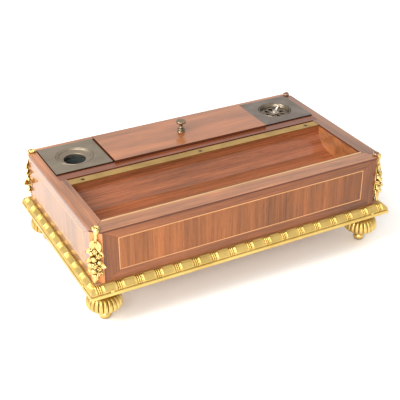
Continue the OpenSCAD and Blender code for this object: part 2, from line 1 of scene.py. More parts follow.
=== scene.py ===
import math
import random

import bmesh
import bpy
from mathutils import Matrix, Vector


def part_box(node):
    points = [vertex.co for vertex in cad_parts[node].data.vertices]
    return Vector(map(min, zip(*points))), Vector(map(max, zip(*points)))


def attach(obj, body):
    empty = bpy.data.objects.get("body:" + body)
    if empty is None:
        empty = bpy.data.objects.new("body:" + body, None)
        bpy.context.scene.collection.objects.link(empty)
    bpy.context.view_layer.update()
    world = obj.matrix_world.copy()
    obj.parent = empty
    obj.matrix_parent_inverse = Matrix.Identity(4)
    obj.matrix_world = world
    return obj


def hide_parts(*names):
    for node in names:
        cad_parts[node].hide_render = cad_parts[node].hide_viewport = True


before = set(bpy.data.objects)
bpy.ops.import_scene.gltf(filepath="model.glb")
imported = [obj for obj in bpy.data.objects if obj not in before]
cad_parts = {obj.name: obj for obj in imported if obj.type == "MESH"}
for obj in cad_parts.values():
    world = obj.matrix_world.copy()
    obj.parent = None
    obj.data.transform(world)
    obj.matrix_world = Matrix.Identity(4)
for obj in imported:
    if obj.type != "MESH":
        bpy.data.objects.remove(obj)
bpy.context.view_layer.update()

MM = 0.001
CORNERS = {"front_left": (-1, -1), "front_right": (1, -1), "back_left": (-1, 1), "back_right": (1, 1)}
# Turn about Z that brings a shape made for the front of the case round to each side
SIDE_TURNS = {"front": 0, "right": 90, "back": 180, "left": 270}

# ---------------------------------------------------------------- places read from the frame

case_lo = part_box("base_board")[0]
half_x = -case_lo.x
half_y = -case_lo.y
top_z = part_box("front_rail")[1].z
rail_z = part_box("front_rail")[0].z
rim_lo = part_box("rim_front")[0].z
rim_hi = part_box("rim_front")[1].z
rim_out = -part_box("rim_front")[0].y - half_y
tray_lo, tray_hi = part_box("pen_tray")
knob_lo, knob_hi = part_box("lid_knob")
SIDE_HALF = {"front": half_x, "back": half_x, "left": half_y, "right": half_y}
SIDE_REACH = {"front": half_y, "back": half_y, "left": half_x, "right": half_x}


def middle(node):
    low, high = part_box(node)
    return (low + high) / 2


# ---------------------------------------------------------------- mesh helpers


def add_mesh(name, verts, faces, material, sharp_deg=40):
    """A new object from points and faces, welded, with its normals outwards and hard edges kept."""
    mesh = bpy.data.meshes.new(name)
    mesh.from_pydata([tuple(v) for v in verts], [], faces)
    bm = bmesh.new()
    bm.from_mesh(mesh)
    bmesh.ops.remove_doubles(bm, verts=bm.verts, dist=1e-6)
    bmesh.ops.dissolve_degenerate(bm, edges=bm.edges, dist=1e-7)
    bmesh.ops.recalc_face_normals(bm, faces=bm.faces)
    bm.to_mesh(mesh)
    bm.free()
    mesh.shade_smooth()
    mesh.set_sharp_from_angle(angle=math.radians(sharp_deg))
    mesh.materials.append(material)
    obj = bpy.data.objects.new(name, mesh)
    bpy.context.scene.collection.objects.link(obj)
    return obj


def grid_faces(rows, cols, close_rows=False, close_cols=False):
    """Quads over a grid of rows x cols points, row after row."""
    faces = []
    for i in range(rows if close_rows else rows - 1):
        for j in range(cols if close_cols else cols - 1):
            a, b = i * cols + j, i * cols + (j + 1) % cols
            c, d = ((i + 1) % rows) * cols + (j + 1) % cols, ((i + 1) % rows) * cols + j
            faces.append((a, b, c, d))
    return faces


def weigh_normals(mesh):
    """Normals that follow the larger faces, so that flats stay flat beside an eased edge."""
    sums = [Vector() for _ in mesh.vertices]
    for face in mesh.polygons:
        for i in face.vertices:
            sums[i] += face.normal * face.area
    mesh.shade_smooth()
    mesh.normals_split_custom_set_from_vertices([v.normalized() for v in sums])


class Shape:
    """Points and faces gathered from several simple forms, to become one piece."""

    def __init__(self):
        self.verts = []
        self.faces = []

    def add(self, verts, faces, place=None):
        start = len(self.verts)
        self.verts += [place @ Vector(v) if place else Vector(v) for v in verts]
        self.faces += [tuple(start + i for i in f) for f in faces]

    def piece(self, name, material, sharp_deg=40):
        return add_mesh(name, self.verts, self.faces, material, sharp_deg)


def lathe(profile, segments, radius_at=None):
    """Turns a profile of (radius, height) points about Z; radius_at(radius, height, angle) may carve it."""
    verts = []
    for i in range(segments):
        angle = 2 * math.pi * i / segments
        for r, z in profile:
            rr = radius_at(r, z, angle) if radius_at and r > 0 else r
            verts.append((rr * math.cos(angle), rr * math.sin(angle), z))
    return verts, grid_faces(segments, len(profile), close_rows=True)


def arc(cx, cy, rx, ry, start, end, steps):
    """Points of an elliptical arc, angles in degrees from +x."""
    points = []
    for i in range(steps + 1):
        a = math.radians(start + (end - start) * i / steps)
        points.append((cx + rx * math.cos(a), cy + ry * math.sin(a)))
    return points


def prism(outline, low, high):
    """A straight prism on a flat outline of (x, y) points, from height low to high."""
    n = len(outline)
    verts = [(x, y, low) for x, y in outline] + [(x, y, high) for x, y in outline]
    faces = [tuple(range(n - 1, -1, -1)), tuple(range(n, 2 * n))]
    faces += [(i, (i + 1) % n, n + (i + 1) % n, n + i) for i in range(n)]
    return verts, faces


def ball(radius, segments, rings):
    profile = [(radius * math.sin(math.pi * i / rings), -radius * math.cos(math.pi * i / rings))
               for i in range(rings + 1)]
    return lathe(profile, segments)


def tube(points, radii, segments=10):
    """A round tube along points, with a radius at each, closed by a point at both ends."""
    verts = []
    for i, p in enumerate(points):
        ahead = points[min(i + 1, len(points) - 1)] - points[max(i - 1, 0)]
        frame_turn = ahead.to_track_quat("Z", "Y")
        for j in range(segments):
            a = 2 * math.pi * j / segments
            verts.append(p + frame_turn @ Vector((radii[i] * math.cos(a), radii[i] * math.sin(a), 0)))
    faces = grid_faces(len(points), segments, close_cols=True)
    faces.append(tuple(range(segments - 1, -1, -1)))
    faces.append(tuple(range(len(verts) - segments, len(verts))))
    return verts, faces


def ease(bm, width, steps):
    """Rounds every hard edge by a small width."""
    hard = [e for e in bm.edges if len(e.link_faces) == 2 and e.calc_face_angle() > math.radians(35)]
    bmesh.ops.bevel(bm, geom=hard, offset=width, offset_type="OFFSET", segments=steps,
                    profile=0.5, affect="EDGES", clamp_overlap=True)
    bmesh.ops.recalc_face_normals(bm, faces=bm.faces)


def soft_edges(node, width, material, edge=None):
    """A copy of a CAD node's mesh with its hard edges eased by a small round.
    edge is the material of its upright faces, where that is another one: a darker one that paints their
    shade."""
    bm = bmesh.new()
    bm.from_mesh(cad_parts[node].data)
    bmesh.ops.remove_doubles(bm, verts=bm.verts, dist=2e-6)
    bmesh.ops.dissolve_limit(bm, angle_limit=math.radians(0.8), verts=bm.verts, edges=bm.edges)
    ease(bm, width, 2)
    mesh = bpy.data.meshes.new(node + "_eased")
    bm.to_mesh(mesh)
    bm.free()
    mesh.materials.clear()
    mesh.materials.append(material)
    if edge:
        mesh.materials.append(edge)
        for face in mesh.polygons:
            face.material_index = 1 if abs(face.normal.z) < 0.4 else 0
    weigh_normals(mesh)
    obj = bpy.data.objects.new(node + "_eased", mesh)
    bpy.context.scene.collection.objects.link(obj)
    return obj


def soften(obj, width):
    """Eases the hard edges of a piece in place."""
    bm = bmesh.new()
    bm.from_mesh(obj.data)
    ease(bm, width, 1)
    bm.to_mesh(obj.data)
    bm.free()
    weigh_normals(obj.data)


def fit(obj, body, slot, *nodes):
    """The piece moves with a body and stands for the named CAD nodes, which are hidden; slot is not used.
    """
    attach(obj, body)
    if nodes:
        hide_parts(*nodes)
    return obj


def dress(node, material):
    """Gives a CAD node that stays in view its material."""
    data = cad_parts[node].data
    for i in range(max(1, len(data.materials))):
        if i < len(data.materials):
            data.materials[i] = material
        else:
            data.materials.append(material)


# ---------------------------------------------------------------- material helpers


class Material:
    """A principled material whose colour, roughness and bump come from procedural nodes."""

    def __init__(self, name, **sockets):
        self.data = bpy.data.materials.new(name)
        self.data.use_nodes = True
        self.tree = self.data.node_tree
        self.bsdf = self.tree.nodes["Principled BSDF"]
        self.set(**sockets)

    def node(self, kind, inputs=None, **settings):
        made = self.tree.nodes.new("ShaderNode" + kind)
        for key, value in settings.items():
            setattr(made, key, value)
        for key, value in (inputs or {}).items():
            if isinstance(value, bpy.types.NodeSocket):
                self.tree.links.new(value, made.inputs[key])
            else:
                made.inputs[key].default_value = value
        return made

    def place(self, stretch=(1, 1, 1), shift=(0, 0, 0)):
        """Object coordinates in metres, stretched, as a vector socket."""
        coords = self.node("TexCoord").outputs["Object"]
        return self.node("Mapping", {"Vector": coords, "Location": shift, "Scale": stretch}).outputs[0]

    def noise(self, vector, detail=3.0, distortion=0.0, rough=0.5):
        made = self.node("TexNoise", {"Vector": vector, "Scale": 1.0, "Detail": detail,
                                      "Distortion": distortion, "Roughness": rough})
        return made.outputs["Fac"]

    def ramp(self, factor, stops):
        """stops are (position, value or colour)."""
        made = self.node("ValToRGB", {"Fac": factor})
        ramp = made.color_ramp
        ramp.interpolation = "LINEAR"
        while len(ramp.elements) < len(stops):
            ramp.elements.new(0.5)
        for element, (position, colour) in zip(ramp.elements, stops):
            element.position = position
            if isinstance(colour, (int, float)):
                colour = (colour,) * 3
            element.color = (*colour, 1)
        return made.outputs["Color"]

    def math(self, operation, a, b=0.0, clamp=False):
        made = self.node("Math", {0: a, 1: b}, operation=operation, use_clamp=clamp)
        return made.outputs[0]

    def mix(self, factor, a, b):
        made = self.node("Mix", data_type="RGBA")
        for socket, value in ((made.inputs[0], factor), (made.inputs[6], a), (made.inputs[7], b)):
            if isinstance(value, bpy.types.NodeSocket):
                self.tree.links.new(value, socket)
            elif isinstance(value, (int, float)):
                socket.default_value = value
            else:
                socket.default_value = (*value, 1) if len(value) == 3 else value
        return made.outputs[2]

    def set(self, **values):
        """Sets or links shader inputs by name, with an underscore for each space."""
        for key, value in values.items():
            socket = self.bsdf.inputs[key.replace("_", " ")]
            if isinstance(value, bpy.types.NodeSocket):
                self.tree.links.new(value, socket)
            else:
                socket.default_value = value

    def bump(self, height, strength, distance):
        made = self.node("Bump", {"Height": height, "Strength": strength, "Distance": distance})
        self.set(Normal=made.outputs[0])


AXES = {"X": 0, "Y": 1, "Z": 2}


def along(axis, grain, across):
    """Scale that stretches a texture along the grain axis."""
    scale = [across] * 3
    scale[AXES[axis]] = grain
    return scale


def wood(name, base, grain="X", seed=0.0, figure=0.16, figure_size=(4, 60), fibre=0.08, pores=0.3,
         gloss=0.8, rough=0.32, leaf=None, leaf_tone=0.2, red=0.0, warp=0.3, fade=(0, 0)):
    """Polished wood of one base colour: broad figure, fine fibres and short dark pores along the grain
    axis. leaf is the mean width in metres of the upright leaves of a veneer that differ in tone.
    The falloff given per axis is how much the tone drops per metre towards +X and +Y: painted shade where
    less of the key light reaches."""
    m = Material(name, Coat_Weight=gloss, Coat_Roughness=0.09, Coat_IOR=1.45, Roughness=rough)
    m.set(Specular_IOR_Level=0.25)
    shift = (seed, seed * 0.37, seed * 0.71)
    broad = m.noise(m.place(along(grain, *figure_size), shift), detail=4, distortion=warp, rough=0.6)
    fine = m.noise(m.place(along(grain, 18, 900), shift), detail=3, rough=0.65)
    patch = m.noise(m.place((12, 12, 12), shift), detail=2)
    tone = m.math("MULTIPLY", m.math("SUBTRACT", broad, 0.5), figure * 5)
    tone = m.math("ADD", tone, m.math("MULTIPLY", m.math("SUBTRACT", fine, 0.5), fibre * 5))
    tone = m.math("ADD", tone, m.math("MULTIPLY", m.math("SUBTRACT", patch, 0.5), figure * 1.6))
    if leaf:
        split = m.node("SeparateXYZ", {0: m.place((1, 1, 1), shift)})
        run = m.math("ADD", split.outputs[0], split.outputs[1])
        cells = m.node("TexVoronoi", {"W": run, "Scale": 1 / leaf}, voronoi_dimensions="1D")
        step = m.node("SeparateColor", {0: cells.outputs["Color"]}).outputs[0]
        tone = m.math("ADD", tone, m.math("MULTIPLY", m.math("SUBTRACT", step, 0.5), leaf_tone * 2))
    # Painted shade: the tone drops across the piece away from the key light.
    for axis, drop in enumerate(fade):
        if drop:
            across = m.node("SeparateXYZ", {0: m.place()}).outputs[axis]
            tone = m.math("SUBTRACT", tone, m.math("MULTIPLY", across, drop))
    light = m.math("ADD", tone, 1.0)
    warm = m.mix(m.math("ADD", m.math("MULTIPLY", patch, 0.5 + red), red, clamp=True), base,
                 (base[0] * 1.04, base[1] * 0.74, base[2] * 0.6))
    scaled = m.node("VectorMath", {0: warm, "Scale": light}, operation="SCALE").outputs[0]
    pore = m.noise(m.place(along(grain, 90, 2400), shift), detail=2)
    pore_mask = m.ramp(pore, [(0.3, 1.0), (0.43, 0.0)])
    m.set(Base_Color=m.mix(m.math("MULTIPLY", pore_mask, pores), scaled, tuple(c * 0.2 for c in base)))
    m.bump(m.math("SUBTRACT", fine, m.math("MULTIPLY", pore_mask, 0.5)), 0.08, 0.05 * MM)
    return m.data


def metal(name, base, dark, rough=(0.2, 0.42), tarnish=0.5, recess=0.6, reach=2.0 * MM,
          seed=0.0, bump=0.1, rings=None, painted_shade_heights=None):
    """Cast or rolled metal: bright where it stands out, darkened in the hollows by painted shade that
    stands also for their toning.
    rings is the centre (x, y) of faint turning marks; the shade heights are the two heights between which
    painted shade darkens it towards the upper one."""
    m = Material(name, Metallic=1.0)
    shift = (seed, seed, seed)
    cloud = m.noise(m.place((55, 55, 55), shift), detail=4, distortion=0.4)
    grit = m.noise(m.place((700, 700, 700), shift), detail=3)
    # Painted shade in the hollows from an occlusion mask, standing also for the toning of old gilt there.
    open_air = m.node("AmbientOcclusion", {"Distance": reach}, samples=6).outputs["AO"]
    hollow = m.math("MULTIPLY", m.ramp(open_air, [(0.25, 1.0), (0.85, 0.0)]), recess)
    stain = m.ramp(cloud, [(0.35, 0.0), (0.7, 1.0)])
    amount = m.math("ADD", hollow, m.math("MULTIPLY", stain, tarnish), clamp=True)
    # Painted shade: darker towards the upper of the shade heights, for the shade under an overhang.
    if painted_shade_heights:
        up = m.node("SeparateXYZ", {0: m.place()}).outputs[2]
        up = m.math("DIVIDE", m.math("SUBTRACT", up, painted_shade_heights[0]), painted_shade_heights[1] - painted_shade_heights[0], clamp=True)
        amount = m.math("ADD", amount, up, clamp=True)
    height = grit
    if rings:
        at = m.place(shift=(-rings[0], -rings[1], 0))
        flat = m.node("VectorMath", {0: at, 1: (1, 1, 0)}, operation="MULTIPLY").outputs[0]
        radius = m.node("VectorMath", {0: flat}, operation="LENGTH").outputs["Value"]
        worn = m.noise(m.place((60, 60, 60), shift), detail=2)
        wave = m.math("SINE", m.math("MULTIPLY", radius, 2 * math.pi / (1.9 * MM)))
        wave = m.math("MULTIPLY", m.math("MULTIPLY", wave, worn), 0.35)
        amount = m.math("ADD", amount, wave, clamp=True)
        height = m.math("ADD", grit, wave)
    m.set(Base_Color=m.mix(amount, base, dark))
    spread = rough[1] - rough[0]
    m.set(Roughness=m.math("ADD", m.math("MULTIPLY", m.math("ADD", grit, amount), spread * 0.7), rough[0]))
    m.bump(height, bump, 0.05 * MM)
    return m.data


# ---------------------------------------------------------------- materials

RAIL = (0.315, 0.132, 0.055)
BAND = (0.188, 0.067, 0.024)
# Lighter banding tone for the end sides: painted light from the key on the left side.
LIT_SIDE_BAND = (0.195, 0.077, 0.020)
OAK = (0.36, 0.22, 0.11)

# Where a wood below is given a fade, it darkens across the case by painted shade, away from the key light.
rail_wood = wood("rail_wood", RAIL, "X", seed=1.3, figure=0.5, fibre=0.3, fade=(0.7, 0))
# Painted shade: a darker copy of the side-rail wood for the right rail, further from the key light.
right_rail_wood_shaded = wood("right_rail_wood_shaded", (0.175, 0.077, 0.036), "Y", seed=2.4, figure=0.5, fibre=0.3)
side_rail_wood = wood("side_rail_wood", RAIL, "Y", seed=2.1, figure=0.5, fibre=0.3, fade=(0, 2.4))
# Painted shadow: a darker copy of the rail wood for the middle rail, for the lid's shadow that falls across
# it.
mid_rail_wood_shaded = wood("mid_rail_wood_shaded", (0.145, 0.042, 0.016), "X", seed=2.9, figure=0.3, gloss=0.5,
                     fibre=0.3)
# Painted shade: a very dark wood for the upright faces of the rails and lid, for their faces in shadow and
# the shadow lines along them.
edge_wood_shaded = wood("edge_wood_shaded", (0.085, 0.024, 0.010), "X", seed=3.3, figure=0.3, gloss=0.3)
lid_wood = wood("lid_wood", (0.228, 0.086, 0.030), "X", seed=4.4, figure=0.42, figure_size=(6, 50),
                fibre=0.3, fade=(0.6, 0))
panel_wood = wood("panel_wood", (0.207, 0.072, 0.019), "Z", seed=6.2, figure=0.36, figure_size=(2.5, 110),
                  leaf=0.015, leaf_tone=0.2, warp=0.0, gloss=0.3, fibre=0.25, pores=0.45, fade=(0.9, 0))
band_wood = wood("band_wood", BAND, "X", seed=7.7, figure=0.36, gloss=0.3, fibre=0.3, pores=0.4,
                 fade=(0.4, 0))
band_wood_upright = wood("band_wood_upright", BAND, "Z", seed=9.1, figure=0.4, gloss=0.3, fibre=0.3)
# Lighter copies of the panel and banding veneers for the end sides: painted light from the key on the left
# side.
lit_side_panel_wood = wood("lit_side_panel_wood", (0.215, 0.088, 0.022), "Z", seed=21.2, figure=0.4, gloss=0.7,
                       figure_size=(2.5, 110), leaf=0.015, leaf_tone=0.16, warp=0.0, fibre=0.2)
lit_side_band_wood = wood("lit_side_band_wood", LIT_SIDE_BAND, "Y", seed=22.7, figure=0.4, gloss=0.8, fibre=0.2)
lit_side_band_upright = wood("lit_side_band_upright", LIT_SIDE_BAND, "Z", seed=23.1, figure=0.4, gloss=0.8, fibre=0.2)
# Lit and shaded copies of one cant veneer, painted light and shade: the lighter for the left corners, the
# darker for the right ones.
lit_cant_veneer = wood("lit_cant_veneer", (0.50, 0.21, 0.08), "Z", seed=10.4, figure=0.25, gloss=0.4)
shaded_cant_veneer = wood("shaded_cant_veneer", (0.17, 0.06, 0.028), "Z", seed=10.9, figure=0.25, gloss=0.4)
tray_wood = wood("tray_wood", (0.245, 0.088, 0.037), "X", seed=11.9, figure=0.26, figure_size=(4, 110),
                 gloss=0.7, rough=0.25, red=0.15, fibre=0.35, pores=0.5)
tray_end_wood = wood("tray_end_wood", (0.35, 0.136, 0.048), "Y", seed=12.6, figure=0.5,
                     figure_size=(30, 45), gloss=0.5, fibre=0.2)
oak = wood("oak", OAK, "X", seed=14.2, gloss=0.0, rough=0.6, pores=0.5)
oak_upright = wood("oak_upright", OAK, "Z", seed=15.2, gloss=0.0, rough=0.6, pores=0.5)
# Painted shade: near-black wood for the partitions, for the shadow in the gaps beside the lid and plates.
slot_shadow_wood = wood("slot_shadow_wood", (0.012, 0.007, 0.005), "Y", seed=15.8, gloss=0.0, rough=0.8)
string_wood = wood("string_wood", (0.52, 0.27, 0.11), "X", seed=16.1, figure=0.15, pores=0.1, gloss=0.4)
lip_wood = wood("lip_wood", (0.42, 0.29, 0.14), "X", seed=17.1, figure=0.2, pores=0.1, gloss=0.5)

WELL_X = middle("ink_plate").x
WELL_Y = middle("ink_plate").y

gilt = metal("gilt", (0.74, 0.525, 0.17), (0.30, 0.19, 0.03), rough=(0.22, 0.42), tarnish=0.35, recess=1.0,
             reach=2.5 * MM)
# The foot darkens towards its top: painted shade under the rim.
gilt_foot = metal("gilt_foot", (0.72, 0.51, 0.17), (0.25, 0.15, 0.03), rough=(0.22, 0.42), tarnish=0.45,
                  recess=1.0, reach=6 * MM, seed=2.0, painted_shade_heights=(22 * MM, 34 * MM))
worn_bronze = metal("worn_bronze", (0.42, 0.26, 0.18), (0.18, 0.10, 0.07), rough=(0.3, 0.5), tarnish=0.6,
                    recess=0.9, seed=4.0)
gilt_chased = metal("gilt_chased", (0.76, 0.56, 0.22), (0.22, 0.12, 0.02), rough=(0.24, 0.46),
                    tarnish=0.2, recess=1.0, reach=3 * MM, seed=3.0)
strip_brass = metal("strip_brass", (0.52, 0.33, 0.115), (0.30, 0.19, 0.065), rough=(0.34, 0.5),
                    tarnish=0.6, recess=0.3, seed=5.0)
pot_brass = metal("pot_brass", (0.58, 0.42, 0.20), (0.22, 0.14, 0.06), rough=(0.35, 0.6), tarnish=0.8,
                  seed=6.0)
grey_bronze = metal("grey_bronze", (0.30, 0.25, 0.19), (0.17, 0.135, 0.10), rough=(0.36, 0.58),
                    tarnish=0.5, recess=0.3, seed=7.0, bump=0.2, rings=(WELL_X, WELL_Y))
dark_grey_bronze = metal("dark_grey_bronze", (0.25, 0.21, 0.18), (0.13, 0.105, 0.09), rough=(0.34, 0.55),
                         tarnish=0.6, recess=0.6, seed=8.0, bump=0.2)
cover_bronze = metal("cover_bronze", (0.27, 0.22, 0.165), (0.06, 0.045, 0.03), rough=(0.22, 0.45),
                     tarnish=0.7, recess=0.9, reach=3 * MM, seed=8.6, bump=0.3)
knob_bronze = metal("knob_bronze", (0.30, 0.22, 0.14), (0.07, 0.045, 0.03), rough=(0.22, 0.4),
                    tarnish=0.6, recess=0.8, seed=9.0)
boss_metal = metal("boss_metal", (0.62, 0.55, 0.47), (0.12, 0.09, 0.065), rough=(0.26, 0.42), tarnish=0.5,
                   recess=1.0, reach=4 * MM, seed=10.0)
# Painted shade: near-black metal for the upright edges of the plates, for the shadow line along them.
plate_edge_shade = metal("plate_edge_shade", (0.10, 0.06, 0.05), (0.03, 0.02, 0.015), rough=(0.4, 0.6), seed=8.9)
screw_steel = metal("screw_steel", (0.17, 0.11, 0.06), (0.06, 0.045, 0.03), rough=(0.35, 0.6), tarnish=0.8,
                    seed=11.0)


def stained_glass_pot():
    """Clear pressed glass, stained with dried ink towards the bottom."""
    m = Material("ink_glass", Roughness=0.06, IOR=1.5, Transmission_Weight=0.75)
    split = m.node("SeparateXYZ", {0: m.place()})
    low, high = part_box("ink_pot")
    height = m.math("DIVIDE", m.math("SUBTRACT", split.outputs[2], low.z), high.z - low.z)
    edge = m.math("ADD", height, m.math("MULTIPLY", m.noise(m.place((90, 90, 90)), detail=4), 0.3))
    m.set(Base_Color=m.ramp(edge, [(0.3, (0.01, 0.012, 0.03)), (0.75, (0.42, 0.48, 0.47))]))
    return m.data


def dried_ink():
    m = Material("dried_ink")
    cloud = m.noise(m.place((300, 300, 300)), detail=5)
    m.set(Base_Color=m.ramp(cloud, [(0.3, (0.004, 0.004, 0.008)), (0.8, (0.02, 0.02, 0.035))]))
    m.set(Roughness=m.math("ADD", m.math("MULTIPLY", cloud, 0.4), 0.25))
    m.bump(cloud, 0.3, 0.1 * MM)
    return m.data


ink_glass = stained_glass_pot()
ink_material = dried_ink()

# ---------------------------------------------------------------- camera

# The camera's place and aim, from the middle of the case's top
CAMERA_FROM_TOP = Vector((-414.6, -773.7, 452.2)) * MM
CAMERA_TARGET = Vector((76.9, 153.6, -158.7)) * MM
CAMERA_LENS = 81.3


def add_camera():
    data = bpy.data.cameras.new("camera")
    data.lens = CAMERA_LENS
    data.sensor_width = 36
    data.clip_start = 0.01
    camera = bpy.data.objects.new("camera", data)
    top = Vector((0, 0, top_z))
    camera.location = top + CAMERA_FROM_TOP
    aim = (top + CAMERA_TARGET) - camera.location
    camera.rotation_euler = aim.to_track_quat("-Z", "Y").to_euler()
    bpy.context.scene.collection.objects.link(camera)
    bpy.context.scene.camera = camera


add_camera()

# ---------------------------------------------------------------- carcass and inside


def dress_inside():
    for node in ("base_board", "front_board", "back_board", "divider_board", "well_ledges"):
        dress(node, oak)
    for node in ("left_board", "right_board", "lid_battens"):
        dress(node, oak_upright)
    for node in ("left_partition", "right_partition"):
        dress(node, slot_shadow_wood)
    for node in ("foot_studs", "knob_screw"):
        dress(node, screw_steel)
    dress("mount_pins", pot_brass)
    for corner in CORNERS:
        node = "corner_post_" + corner
        # Left corners take the lit copy and right corners the shaded copy: painted light and shade.
        facing = lit_cant_veneer if corner.endswith("left") else shaded_cant_veneer
        fit(soft_edges(node, 0.3 * MM, facing), "case", "cross_veneer", node)


dress_inside()

# ---------------------------------------------------------------- top rails and lid


def make_rails():
    woods = {"front_rail": rail_wood, "back_rail": rail_wood, "mid_rail": mid_rail_wood_shaded,
             "left_rail": side_rail_wood, "right_rail": right_rail_wood_shaded}
    for node, top in woods.items():
        fit(soft_edges(node, 0.3 * MM, top, edge=edge_wood_shaded), "case", "rail_rosewood", node)
    fit(soft_edges("lid_panel", 0.4 * MM, lid_wood, edge=edge_wood_shaded), "lid", "lid_rosewood", "lid_panel")


make_rails()

# ---------------------------------------------------------------- pen tray


def make_tray():
    """Trough with a cove down its back, a smaller hollow in front and a flat floor between them."""
    strip_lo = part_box("brass_strip")[0]
    lip_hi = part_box("tray_lip")[1]
    floor_z = tray_lo.z + 5 * MM
    cove = 23 * MM
    hollow = 8 * MM
    front, back = lip_hi.y, strip_lo.y
    outline = [(tray_lo.y, tray_lo.z), (tray_hi.y, tray_lo.z), (tray_hi.y, tray_hi.z), (back, tray_hi.z)]
    outline += arc(back - cove, floor_z + cove, cove, cove, 0, -90, 24)
    outline += arc(front + hollow, floor_z + hollow, hollow, hollow, -90, -180, 12)
    outline += [(front, tray_hi.z), (tray_lo.y, tray_hi.z)]
    verts, faces = prism(outline, tray_lo.x, tray_hi.x)
    turned = [(z, x, y) for x, y, z in verts]
    fit(add_mesh("pen_tray_trough", turned, faces, tray_wood, 25), "case", "tray_mahogany", "pen_tray")
    for node in ("tray_end_left", "tray_end_right"):
        dress(node, tray_end_wood)
    fit(soft_edges("tray_lip", 0.1 * MM, lip_wood), "case", "boxwood", "tray_lip")


def make_strip():
    fit(soft_edges("brass_strip", 0.25 * MM, strip_brass), "case", "brass", "brass_strip")
    dress("strip_screws", screw_steel)


make_tray()
make_strip()

# ---------------------------------------------------------------- veneer, banding and stringing


def sheet_on_side(shape, side, outline):
    """A veneer-thick sheet on a side, its face flush with it; the outline is (along, height) points."""
    verts, faces = prism(outline, -SHEET, 0)
    turn = Matrix.Rotation(math.radians(SIDE_TURNS[side]), 4, "Z")
    place = turn @ Matrix.Translation((0, -SIDE_REACH[side], 0)) @ Matrix.Rotation(math.radians(90), 4, "X")
    shape.add(verts, faces, place)


# Thickness of the banding, and how far in from each corner it ends
SHEET = 1 * MM
BAND_END = 10 * MM


def make_panels():
    panel_lo, panel_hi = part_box("front_veneer")
    string = 1 * MM
    z0, z1 = panel_lo.z - string, panel_hi.z + string
    end = half_x - BAND_END - panel_hi.x - string
    for side in SIDE_TURNS:
        half = SIDE_HALF[side] - BAND_END
        inner = half - end
        long_side = side in ("front", "back")
        # The end sides take the lighter copies of the veneers, painted light for the key light on the left
        # side.
        level = band_wood if long_side else lit_side_band_wood
        upright = band_wood_upright if long_side else lit_side_band_upright
        edges = {
            "top": ([(-half, rail_z), (half, rail_z), (inner, z1), (-inner, z1)], level),
            "bottom": ([(-half, rim_hi), (-inner, z0), (inner, z0), (half, rim_hi)], level),
            "start": ([(-half, rim_hi), (-half, rail_z), (-inner, z1), (-inner, z0)], upright),
            "end": ([(half, rim_hi), (inner, z0), (inner, z1), (half, rail_z)], upright),
        }
        for which, (outline, material) in edges.items():
            shape = Shape()
            sheet_on_side(shape, side, outline)
            band = shape.piece(f"{side}_banding_{which}", material)
            soften(band, 0.2 * MM)
            fit(band, "case", "dark_banding", side + "_banding")
        node = side + "_veneer"
        leaves = panel_wood if long_side else lit_side_panel_wood
        fit(soft_edges(node, 0.1 * MM, leaves), "case", "cross_veneer", node)
    dress("stringing", string_wood)


make_panels()

# ---------------------------------------------------------------- gilt rim

RIM_FILLET = 4 * MM
RIM_QUIRK = 0.5 * MM
REED_PITCH = 2.05 * MM
REED_HALF = 0.66 * MM
GROUP_HALF = REED_PITCH + REED_HALF + 0.1 * MM
FIRST_GROUP_IN = 2.8 * MM
BARREL_CORNER = 2.6 * MM
MITRE_GAP = 0.06 * MM
# Number of reed groups along each side
GROUPS = {"front": 17, "back": 17, "left": 10, "right": 10}


def rise(x):
    """Smooth step from 0 to 1."""
    x = min(1, max(0, x))
    return x * x * (3 - 2 * x)


def rim_relief(s, v, centres, height):
    """Height over the plain ovolo at s along the side and v across the moulding:
    three reeds in each group and a long round-cornered barrel between groups."""
    d = min(abs(s - c) for c in centres)
    edge = height / 2 - abs(v)
    if d < GROUP_HALF:
        nearest = min(abs(d - k * REED_PITCH) for k in (0, 1))
        bead = math.sqrt(1 - (nearest / REED_HALF) ** 2) if nearest < REED_HALF else 0
        return (-0.75 + 0.95 * bead * rise(edge / (0.5 * MM))) * MM
    a = max(0, BARREL_CORNER - (d - GROUP_HALF))
    b = max(0, BARREL_CORNER - edge)
    inside = BARREL_CORNER - math.hypot(a, b)
    return (-0.5 + 0.8 * rise(inside / (1.1 * MM)) - 0.45 * rise((inside - 1.2 * MM) / (1.9 * MM))) * MM


def rim_stations(half, centres):
    """Places along the rim: close together over the reeds, further apart over the barrels."""
    places = set()
    for c in centres:
        for i in range(-15, 16):
            places.add(round(c + i * GROUP_HALF / 15, 7))
        for k in (0.25, 0.5, 0.8, 1.2, 1.7, 2.4, 3.4, 4.8):
            for sign in (-1, 1):
                places.add(round(c + sign * (GROUP_HALF + k * MM), 7))
    return sorted(p for p in places if abs(p) < half - 0.05 * MM)


